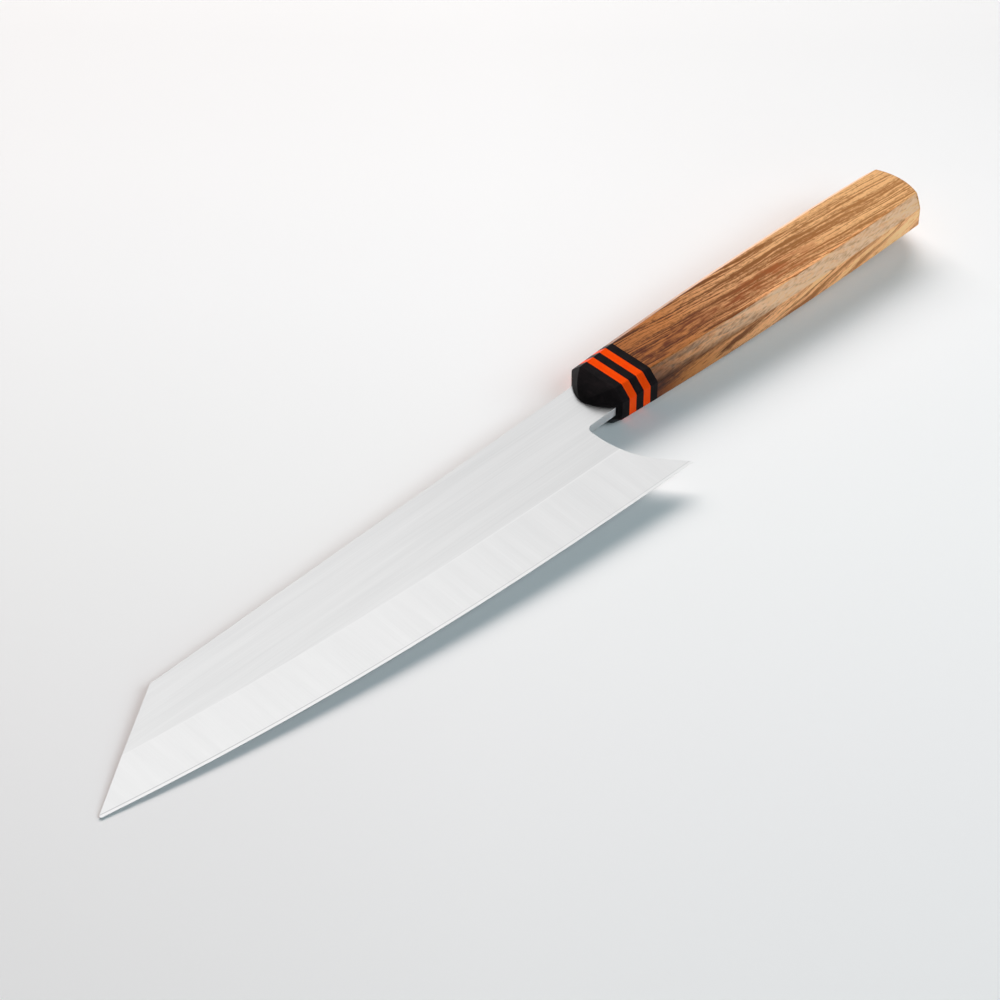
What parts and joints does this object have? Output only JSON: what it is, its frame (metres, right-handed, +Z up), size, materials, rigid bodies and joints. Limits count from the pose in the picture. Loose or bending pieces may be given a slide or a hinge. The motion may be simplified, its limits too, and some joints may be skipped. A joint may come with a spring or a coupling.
{
  "type": "kiritsuke knife",
  "caption": "Kitchen knife with a double-bevel blade, straight clipped point and deep heel arc, on a stick tang in an octagonal wooden handle with a domed collar and striped spacers.",
  "frame": {"origin": "bottom centre of the knife's bounding box as it lies on its side, left face of the blade up", "axes": "+X along the handle from the tip to the butt, +Y from the edge to the spine, +Z up through the thickness of the blade"},
  "size_m": [0.3394, 0.0516, 0.0132],
  "materials": {
    "blade_steel": "satin, brushed along the blade",
    "black_composite": "sanded satin",
    "orange_composite": "satin",
    "walnut": "oiled satin",
    "adhesive": "cured resin"
  },
  "bodies": {
    "root": {"blade": "blade_steel", "front_collar": "black_composite", "front_orange_spacer": "orange_composite", "middle_black_spacer": "black_composite", "rear_orange_spacer": "orange_composite", "rear_black_spacer": "black_composite", "handle_body": "walnut", "tang_adhesive": "adhesive"}
  },
  "joints": []
}
